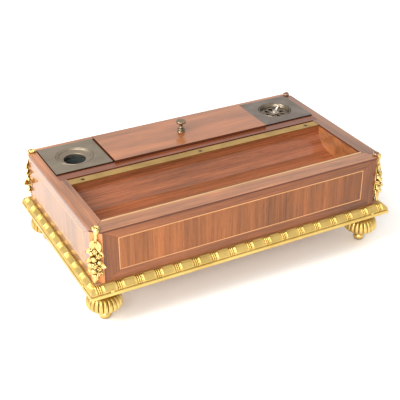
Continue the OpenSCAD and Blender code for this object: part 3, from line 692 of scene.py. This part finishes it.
def make_rim(side):
    half = SIDE_HALF[side]
    count = GROUPS[side]
    first = half - FIRST_GROUP_IN
    centres = [-first + 2 * first * i / (count - 1) for i in range(count)]
    shoulder = rim_lo + RIM_FILLET + RIM_QUIRK
    reach = rim_out - 0.7 * MM
    tall = rim_hi - shoulder
    across = (reach + tall) / 2 * math.pi / 2
    steps = 22
    # Profile as (out, height, place across the moulding or None, outward direction)
    profile = []
    for i in range(steps + 1):
        a = math.radians(90 * i / steps)
        profile.append((reach * math.sin(a), shoulder + tall * math.cos(a), (i / steps - 0.5) * across,
                        (math.sin(a), math.cos(a))))
    low = rim_lo + RIM_FILLET
    for out, height in ((reach - 0.3 * MM, shoulder - 0.2 * MM), (reach - 0.3 * MM, low + 0.1 * MM),
                        (rim_out - 0.4 * MM, low), (rim_out, low - 0.4 * MM), (rim_out, rim_lo + 0.3 * MM),
                        (rim_out - 0.3 * MM, rim_lo), (0, rim_lo)):
        profile.append((out, height, None, (0, 0)))
    shares = [i / 10 for i in range(11)]
    rows = [(-half, share) for share in reversed(shares)] + [(s, 0) for s in rim_stations(half, centres)]
    rows += [(half, share) for share in shares]
    verts = []
    for s, share in rows:
        for out, height, v, normal in profile:
            at = s + math.copysign(share * (out - MITRE_GAP), s)
            relief = 0 if v is None else rim_relief(at, v, centres, across)
            verts.append((at, -out - normal[0] * relief, height + normal[1] * relief))
    faces = grid_faces(len(rows), len(profile), close_cols=True)
    faces.append(tuple(range(len(profile))))
    faces.append(tuple(range(len(verts) - 1, len(verts) - len(profile) - 1, -1)))
    turn = Matrix.Rotation(math.radians(SIDE_TURNS[side]), 4, "Z")
    shape = Shape()
    shape.add(verts, faces, turn @ Matrix.Translation((0, -SIDE_REACH[side], 0)))
    fit(shape.piece(f"rim_{side}_moulding", gilt, 50), "case", "gilt_bronze", "rim_" + side)


for side in SIDE_TURNS:
    make_rim(side)
dress("rim_screws", gilt)

# ---------------------------------------------------------------- feet

# In millimetres: the bowl's radius, the heights its lobes run between and how deep they are cut
LOBES = 22
FOOT_R = 18.7
LOBE_LOW = 10.3
LOBE_HIGH = 31.7
LOBE_DEPTH = 2.3


def foot_profile(height):
    """Half section of a foot, from the floor up: bun, neck, bowl, shoulder and collar."""
    points = [(0, 0), (2.4, 0)]
    points += arc(2.9, 4.2, 3.4, 4.2, -90, 60, 9)
    points += [(4.9, 8.3), (4.8, 9.0), (5.2, 9.6), (5.4, 10.2)]
    points += arc(0, 19.5, FOOT_R, 9, -71, 0, 18)
    points += arc(9.5, 19.5, FOOT_R - 9.5, 12.0, 6, 72, 12)
    points += [(11.6, 31.8), (11.2, 32.6), (10.4, 33.4), (10.2, 34.6), (10.8, 35.6), (12, 36.4),
               (12, height / MM), (0, height / MM)]
    return [(r * MM, z * MM) for r, z in points]


def gadroon(r, z, angle):
    """Carves upright lobes into the bowl; they fade into the neck and the shoulder."""
    z_mm = z / MM
    if not LOBE_LOW < z_mm < LOBE_HIGH:
        return r
    fade = min(1, (z_mm - LOBE_LOW) / 1.2) * min(1, (LOBE_HIGH - z_mm) / 4)
    x = ((angle * LOBES / (2 * math.pi)) % 1) * 2 - 1
    groove = 1 - math.sqrt(1 - (0.98 * x) ** 2)
    return r - groove * LOBE_DEPTH * MM * fade * (r / (FOOT_R * MM))


def make_feet():
    for corner in CORNERS:
        node = "foot_" + corner
        low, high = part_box(node)
        at = (low + high) / 2
        verts, faces = lathe(foot_profile(high.z), LOBES * 14, gadroon)
        shape = Shape()
        shape.add(verts, faces, Matrix.Translation((at.x, at.y, 0)))
        fit(shape.piece(node + "_gadrooned", gilt_foot, 60), "case", "gilt_bronze", node)


make_feet()

# ---------------------------------------------------------------- corner mounts


def leaf_form(length, width):
    """A pointed leaf lying along +Y from the origin: raised midrib, cupped blade and toothed edge."""
    curl, teeth, thick = 0.25, 4, 0.5 * MM
    rows, cols = 4 * teeth + 2, 8
    top, bottom = [], []
    for i in range(rows + 1):
        t = i / rows
        spread = math.sin(math.pi * t ** 0.8) ** 0.9
        tooth = 1 + 0.22 * (1 - ((t * teeth * 2) % 1)) * (0 < t < 1)
        half = width / 2 * spread * tooth + 0.05 * MM
        for j in range(cols + 1):
            u = j / cols * 2 - 1
            x = half * u
            y = length * t + abs(u) * 0.04 * length
            z = 0.9 * MM * (1 - t) * (1 - abs(u)) + 0.5 * MM * math.exp(-(u / 0.16) ** 2)
            z += curl * width * (abs(u) ** 2) * 0.5 + curl * length * 0.35 * t ** 2
            top.append((x, y, z + thick))
            bottom.append((x, y, z - 0.2 * thick))
    n = cols + 1
    verts = top + bottom
    faces = grid_faces(rows + 1, n)
    base = len(top)
    faces += [tuple(base + i for i in reversed(f)) for f in grid_faces(rows + 1, n)]
    ring = list(range(n)) + [r * n + cols for r in range(1, rows + 1)]
    ring += [rows * n + j for j in range(cols - 1, -1, -1)] + [r * n for r in range(rows - 1, 0, -1)]
    for a, b in zip(ring, ring[1:] + ring[:1]):
        faces.append((b, a, base + a, base + b))
    return verts, faces


def rosette_form(radius):
    """Open flower: six cupped petals round a domed heart."""
    petals, segments, rings = 6, 72, 12
    verts = []
    for i in range(segments):
        a = 2 * math.pi * i / segments
        lobe = abs(math.cos(petals * a / 2)) ** 0.5
        for j in range(rings + 1):
            t = j / rings
            r = radius * t * (0.74 + 0.26 * lobe if t > 0.4 else 1)
            dome = 1.3 * MM * math.sqrt(max(0, 1 - (t / 0.34) ** 2)) if t < 0.34 else 0
            cup = 1.5 * MM * math.sin(math.pi * min(1, max(0, (t - 0.34) / 0.66))) * (0.35 + 0.65 * lobe)
            verts.append((r * math.cos(a), r * math.sin(a), 1.4 * MM + dome + cup))
        verts.append((radius * 0.9 * math.cos(a), radius * 0.9 * math.sin(a), 0.3 * MM))
        verts.append((0, 0, 0))
    return verts, grid_faces(segments, rings + 3, close_rows=True)


def fruit_form(radius):
    """Round fruit with shallow ribs."""
    ribs = 5
    profile = []
    for i in range(13):
        a = math.pi * i / 12
        profile.append((radius * math.sin(a), -radius * math.cos(a)))
    return lathe(profile, 30, lambda r, z, a: r * (1 - 0.05 * (1 - abs(math.cos(ribs * a / 2)))))


def berry_form(radius, rng):
    """A cluster of small round drupelets."""
    verts, faces = ball(radius * 0.8, 12, 8)
    shape = Shape()
    shape.add(verts, faces)
    count = 15
    for i in range(count):
        z = 1 - 2 * (i + 0.5) / count
        a = i * GOLDEN_ANGLE
        r = math.sqrt(1 - z * z)
        direction = Vector((r * math.cos(a), r * math.sin(a), z))
        small, small_faces = ball(radius * (0.36 + 0.05 * rng.random()), 10, 6)
        shape.add(small, small_faces, Matrix.Translation(direction * radius * 0.78))
    return shape.verts, shape.faces


# Parts of a drop, as (across, below the top, out from the cant, size, kind), in millimetres
DROP = [
    (0.2, 20.0, 4.0, 2.6, "berry"), (-3.7, 23.6, 3.2, 2.5, "fruit"), (3.7, 24.4, 3.6, 2.7, "berry"),
    (-0.3, 28.0, 5.0, 3.0, "fruit"), (-5.1, 30.0, 3.0, 2.5, "berry"), (4.7, 31.2, 3.4, 2.7, "fruit"),
    (0.4, 34.6, 5.4, 3.2, "berry"), (-4.6, 36.0, 3.6, 2.8, "fruit"), (4.4, 37.6, 3.6, 2.6, "berry"),
    (-0.6, 41.2, 5.0, 3.0, "fruit"), (-4.2, 42.8, 3.2, 2.4, "berry"), (3.8, 43.8, 3.4, 2.6, "berry"),
]
# Leaves of a drop, as (across, below the top, out, length, width, angle from straight up, tilt)
DROP_LEAVES = [
    (-0.8, 8.5, 1.4, 11.5, 5.6, 160, 4), (1.0, 8.5, 1.6, 12.0, 5.6, 202, 4),
    (0.0, 10.0, 2.4, 10.5, 4.8, 180, -6),
    (-2.0, 20.0, 1.0, 8.5, 5.2, 112, 8), (2.4, 21.0, 1.0, 7.5, 4.8, 248, 8),
    (2.2, 34.0, 2.0, 11.0, 6.2, 266, 10), (-2.6, 33.0, 1.0, 7.5, 4.8, 96, 8),
    (-2.2, 41.0, 1.0, 7.5, 4.8, 122, 6), (2.2, 42.0, 1.0, 7.5, 4.8, 236, 6),
]
GRAPES = 16
# A step of the golden angle, in radians, or of its share of a turn, spreads small forms evenly
GOLDEN_ANGLE = 2.39996
GOLDEN_SHARE = 0.618034
# Lean of each drop, in degrees, from having been pinned a little out of true
LEANS = {"front_left": 3.2, "front_right": -1.0, "back_left": 0.8, "back_right": -1.5}


def drop_form():
    """One corner mount in its own frame: +X across, +Y up, +Z out of the cant, top of the cant at zero."""
    rng = random.Random(7)
    shape = Shape()
    calyx = [Vector((0, y, z)) * MM for y, z in
             ((0.5, -0.9), (0.6, 0.4), (0.2, 1.3), (-1.0, 1.9), (-2.6, 1.9), (-4, 1.7))]
    shape.add(*tube(calyx, [r * MM for r in (2.9, 3.0, 2.7, 2.1, 1.6, 1.4)], 12))
    stem = [Vector((0.25 * math.sin(i * 0.9), -3.4 - i * 1.05, 1.6 + 0.25 * math.sin(i * 0.7))) * MM
            for i in range(16)]
    radii = [(1.4 - 0.03 * i + (0.45 if i in (5, 6) else 0)) * MM for i in range(16)]
    shape.add(*tube(stem, radii))
    for across, below, out, length, width, angle, lean in DROP_LEAVES:
        verts, faces = leaf_form(length * MM, width * MM)
        place = Matrix.Translation(Vector((across, -below, out)) * MM)
        place = place @ Matrix.Rotation(math.radians(angle), 4, "Z")
        place = place @ Matrix.Rotation(math.radians(lean), 4, "X")
        shape.add(verts, faces, place)
    for across, below, out, size, kind in DROP:
        if kind == "fruit":
            verts, faces = fruit_form(size * MM)
        else:
            verts, faces = berry_form(size * MM, rng)
        turn = Matrix.Rotation(rng.uniform(-0.6, 0.6), 4, "Y")
        turn = turn @ Matrix.Rotation(rng.uniform(-0.5, 0.5), 4, "X")
        shape.add(verts, faces, Matrix.Translation(Vector((across, -below * 1.035, out)) * MM) @ turn)
    for i in range(GRAPES):
        t = (i + 0.5) / GRAPES
        x = ((i * GOLDEN_SHARE) % 1 * 2 - 1) * 3.9 * (1 - t) ** 0.7
        y = -47.2 - t * 9.0
        z = 2.6 + 1.8 * (1 - abs(x) / 4) * (1 - 0.3 * t)
        verts, faces = ball((1.65 - 0.3 * t) * MM, 14, 9)
        shape.add(verts, faces, Matrix.Translation(Vector((x, y, z)) * MM))
    back = [(-1.8, -2), (-1.8, -17), (-4.8, -23), (-5.4, -40), (-2.6, -54), (0, -57)]
    back += [(2.6, -54), (5.4, -40), (4.8, -23), (1.8, -17), (1.8, -2)]
    verts, faces = prism([(x * MM, y * MM) for x, y in back], 0.02 * MM, 1.2 * MM)
    shape.add(verts, faces)
    return shape


def head_form():
    """The rosette at the top of a mount, in the same frame."""
    shape = Shape()
    place = Matrix.Translation(Vector((0, 0.5, -2.4)) * MM) @ Matrix.Rotation(math.radians(-82), 4, "X")
    shape.add(*rosette_form(4.1 * MM), place)
    return shape


def make_mounts():
    drop = drop_form()
    head = head_form()
    cant = 9 * MM
    for corner, (sx, sy) in CORNERS.items():
        node = "corner_mount_" + corner
        outward = Vector((sx, sy, 0)).normalized()
        across = Vector((0, 0, 1)).cross(outward)
        at = Vector((sx * (half_x - cant / 2), sy * (half_y - cant / 2), top_z))
        place = Matrix.Translation(at) @ Matrix((across, (0, 0, 1), outward)).transposed().to_4x4()
        middle_down = Matrix.Translation((0, -30 * MM, 0))
        lean = middle_down @ Matrix.Rotation(math.radians(-LEANS[corner]), 4, "Z") @ middle_down.inverted()
        worn = worn_bronze if sx > 0 else gilt_chased
        for name, form, metal_used, turn in (("_cast", drop, gilt_chased, lean),
                                             ("_rosette", head, worn, None)):
            shape = Shape()
            shape.add(form.verts, form.faces, place @ turn if turn else place)
            fit(shape.piece(node + name, metal_used, 55), "case", "gilt_bronze", node)


make_mounts()

# ---------------------------------------------------------------- knob


def make_knob():
    """Turned knob: a spread foot, a beaded collar, a thin waist and a flat head with a rolled edge."""
    tall = (knob_hi.z - knob_lo.z) / MM
    points = [(0, 0), (4.2, 0), (4.7, 0.5), (4.5, 1.1), (3.6, 1.6), (3.2, 2.0)]
    points += arc(3.0, 3.3, 1.2, 1.1, -80, 80, 8)
    points += [(2.5, 4.7), (3.0, 5.1), (2.6, 5.6), (2.0, 6.2), (1.75, 7.2), (1.8, 8.4),
               (2.3, 9.4), (3.4, 10.4)]
    points += arc(4.9, tall - 2.1, 1.0, 1.4, -90, 70, 9)
    points += [(4.6, tall - 0.6), (3.8, tall - 0.6), (2.4, tall - 0.3), (1.0, tall - 0.05), (0, tall)]
    at = (knob_lo + knob_hi) / 2
    verts, faces = lathe([(r * MM, z * MM) for r, z in points], 64)
    shape = Shape()
    shape.add(verts, faces, Matrix.Translation((at.x, at.y, knob_lo.z)))
    fit(shape.piece("lid_knob_turned", knob_bronze, 50), "lid", "dark_bronze", "lid_knob")


make_knob()

# ---------------------------------------------------------------- ink pot and pounce pot


def turned(name, node, points, material, body, slot, top):
    """A turned piece at a node's axis; heights are measured from top, in millimetres."""
    at = middle(node)
    verts, faces = lathe([(r * MM, z * MM) for r, z in points], 96)
    shape = Shape()
    shape.add(verts, faces, Matrix.Translation((at.x, at.y, top)))
    return fit(shape.piece(name, material, 40), body, slot, node)


def make_ink_well():
    plate_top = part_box("ink_plate")[1].z
    plate = soft_edges("ink_plate", 0.3 * MM, grey_bronze, edge=plate_edge_shade)
    fit(plate, "ink_well", "grey_bronze", "ink_plate")
    ring = [(20.45, -2.2), (20.45, -0.3), (20.2, 0.1), (19.7, 0.1), (19.4, -0.3), (18.9, -0.5)]
    ring += [(18.4, -0.6), (18.1, -1.1), (17.9, -1.7), (17.4, -2.0), (15.6, -2.4), (13.8, -2.9)]
    ring += [(13.1, -3.2), (12.5, -3.4), (12.0, -3.9), (12.0, -6.0), (13.9, -6.0), (14.9, -5.2)]
    ring += [(18.5, -3.7), (23.5, -3.7), (23.5, -2.2)]
    turned("ink_ring_turned", "ink_ring", ring, grey_bronze, "ink_well", "grey_bronze", plate_top)
    dress("ink_pot", ink_glass)
    low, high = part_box("ink_pot")
    at = (low + high) / 2
    film = [(0, 4.1), (20.6, 4.1), (21.55, 5.2), (21.55, 19.0), (21.2, 19.6), (21.0, 12.0), (20.0, 7.6),
            (0, 7.2)]
    verts, faces = lathe([(r * MM, z * MM) for r, z in film], 64)
    shape = Shape()
    shape.add(verts, faces, Matrix.Translation((at.x, at.y, low.z)))
    fit(shape.piece("ink_dregs", ink_material, 40), "ink_well", "glass")


def pierced_disc():
    """Flat disc pierced with petals and small round holes, as one piece with its holes."""
    at = middle("pounce_cover")
    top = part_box("pounce_plate")[1].z
    outer = 16.2
    loops = [[(outer * math.cos(a), outer * math.sin(a)) for a in turn_angles(72)]]
    for i in range(8):
        turn = 2 * math.pi * i / 8
        petal = []
        for a in turn_angles(20):
            r = 9.2 + 3.3 * math.cos(a)
            w = 2.3 * math.sin(a) * (1 + 0.35 * math.cos(a))
            petal.append((r * math.cos(turn) - w * math.sin(turn), r * math.sin(turn) + w * math.cos(turn)))
        loops.append(petal)
        turn += math.pi / 8
        cx, cy = 13.3 * math.cos(turn), 13.3 * math.sin(turn)
        loops.append([(cx + 1.15 * math.cos(a), cy + 1.15 * math.sin(a)) for a in turn_angles(12)])
    curve = bpy.data.curves.new("pierced", "CURVE")
    curve.dimensions = "2D"
    curve.fill_mode = "BOTH"
    curve.extrude = 0.45 * MM
    curve.bevel_depth = 0.14 * MM
    curve.bevel_resolution = 1
    for loop in loops:
        spline = curve.splines.new("POLY")
        spline.points.add(len(loop) - 1)
        for point, (x, y) in zip(spline.points, loop):
            point.co = (x * MM, y * MM, 0, 1)
        spline.use_cyclic_u = True
    holder = bpy.data.objects.new("pierced", curve)
    bpy.context.scene.collection.objects.link(holder)
    bpy.context.view_layer.update()
    mesh = bpy.data.meshes.new_from_object(holder.evaluated_get(bpy.context.evaluated_depsgraph_get()))
    bpy.data.objects.remove(holder)
    verts = []
    for v in mesh.vertices:
        r = v.co.xy.length
        dish = 0.9 * MM * (r / (outer * MM)) ** 2
        verts.append((v.co.x + at.x, v.co.y + at.y, v.co.z + top - 4.7 * MM + dish))
    faces = [tuple(p.vertices) for p in mesh.polygons]
    return add_mesh("pounce_cover_pierced", verts, faces, cover_bronze, 40)


def turn_angles(count):
    return [2 * math.pi * i / count for i in range(count)]


def make_pounce_well():
    plate_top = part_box("pounce_plate")[1].z
    plate = soft_edges("pounce_plate", 0.3 * MM, dark_grey_bronze, edge=plate_edge_shade)
    fit(plate, "pounce_well", "grey_bronze", "pounce_plate")
    dress("pounce_pot", pot_brass)
    fit(pierced_disc(), "pounce_lid", "grey_bronze", "pounce_cover")
    ring = [(15.9, -4.3), (16.4, -3.6), (17.0, -2.6), (17.5, -1.2), (17.8, -0.2), (18.2, 0.1), (18.7, 0.1),
            (19.1, -0.3), (19.15, -3.5), (16.9, -3.5), (16.9, -4.6), (16.2, -5.1), (15.6, -5.1)]
    turned("pounce_cover_rim", "pounce_cover", ring, cover_bronze, "pounce_lid", "grey_bronze", plate_top)
    make_boss(plate_top)


def make_boss(plate_top):
    """Domed boss on the cover, with a short slanting thumb piece that ends in a ball."""
    at = middle("pounce_cover")
    points = [(0, -6.0), (1.5, -6.0), (1.5, -4.2), (4.4, -4.1), (4.8, -3.7), (4.7, -3.2), (4.0, -2.9)]
    points += [(3.2, -2.6)]
    points += arc(0, -2.6, 3.2, 2.2, 0, 90, 10)
    shape = Shape()
    foot = Vector((at.x, at.y, plate_top - 4 * MM))
    shape.add(*lathe([(r * MM, z * MM) for r, z in points], 48),
              Matrix.Translation((at.x, at.y, plate_top)))
    tip = foot + Vector((5.6, 1.4, 7)) * MM
    spots = [foot.lerp(tip, t) for t in (0.15, 0.3, 0.45, 0.6, 0.75, 0.95)]
    shape.add(*tube(spots, [r * MM for r in (2.6, 2.3, 1.9, 1.7, 1.8, 2.2)], 18))
    shape.add(*ball(2.6 * MM, 24, 14), Matrix.Translation(tip))
    fit(shape.piece("cover_boss_cast", boss_metal, 50), "pounce_lid", "pale_metal", "cover_boss")


make_ink_well()
make_pounce_well()

# ---------------------------------------------------------------- floor and light


def add_floor():
    bm = bmesh.new()
    bmesh.ops.create_grid(bm, x_segments=8, y_segments=8, size=6)
    mesh = bpy.data.meshes.new("floor")
    bm.to_mesh(mesh)
    bm.free()
    m = Material("floor_paper", Roughness=0.7)
    cloud = m.noise(m.place((3, 3, 3)), detail=2)
    m.set(Base_Color=m.ramp(cloud, [(0.3, (0.94, 0.93, 0.915)), (0.7, (0.955, 0.945, 0.935))]))
    mesh.materials.append(m.data)
    floor = bpy.data.objects.new("floor", mesh)
    bpy.context.scene.collection.objects.link(floor)


def add_light(name, place, target, size, power, colour=(1, 1, 1)):
    data = bpy.data.lights.new(name, "AREA")
    data.shape = "SQUARE"
    data.size = size
    data.energy = power
    data.color = colour
    light = bpy.data.objects.new(name, data)
    light.location = place
    aim = Vector(target) - Vector(place)
    light.rotation_euler = aim.to_track_quat("-Z", "Y").to_euler()
    bpy.context.scene.collection.objects.link(light)


def add_world():
    world = bpy.data.worlds.new("studio")
    world.use_nodes = True
    background = world.node_tree.nodes["Background"]
    background.inputs["Color"].default_value = (1.0, 0.985, 0.97, 1)
    background.inputs["Strength"].default_value = 1.0
    bpy.context.scene.world = world


add_floor()
add_world()
add_light("key", (-1.75, -0.15, 1.1), (0, 0, 0.06), 0.9, 26, (1.0, 0.97, 0.93))
add_light("front", (-1.0, -1.3, 0.8), (-0.05, 0, 0.02), 0.8, 20, (1.0, 0.97, 0.93))
add_light("top", (-0.8, -0.05, 1.25), (-0.05, 0, 0.06), 0.7, 9)
bpy.context.scene.view_settings.view_transform = "Standard"

bpy.context.view_layer.update()
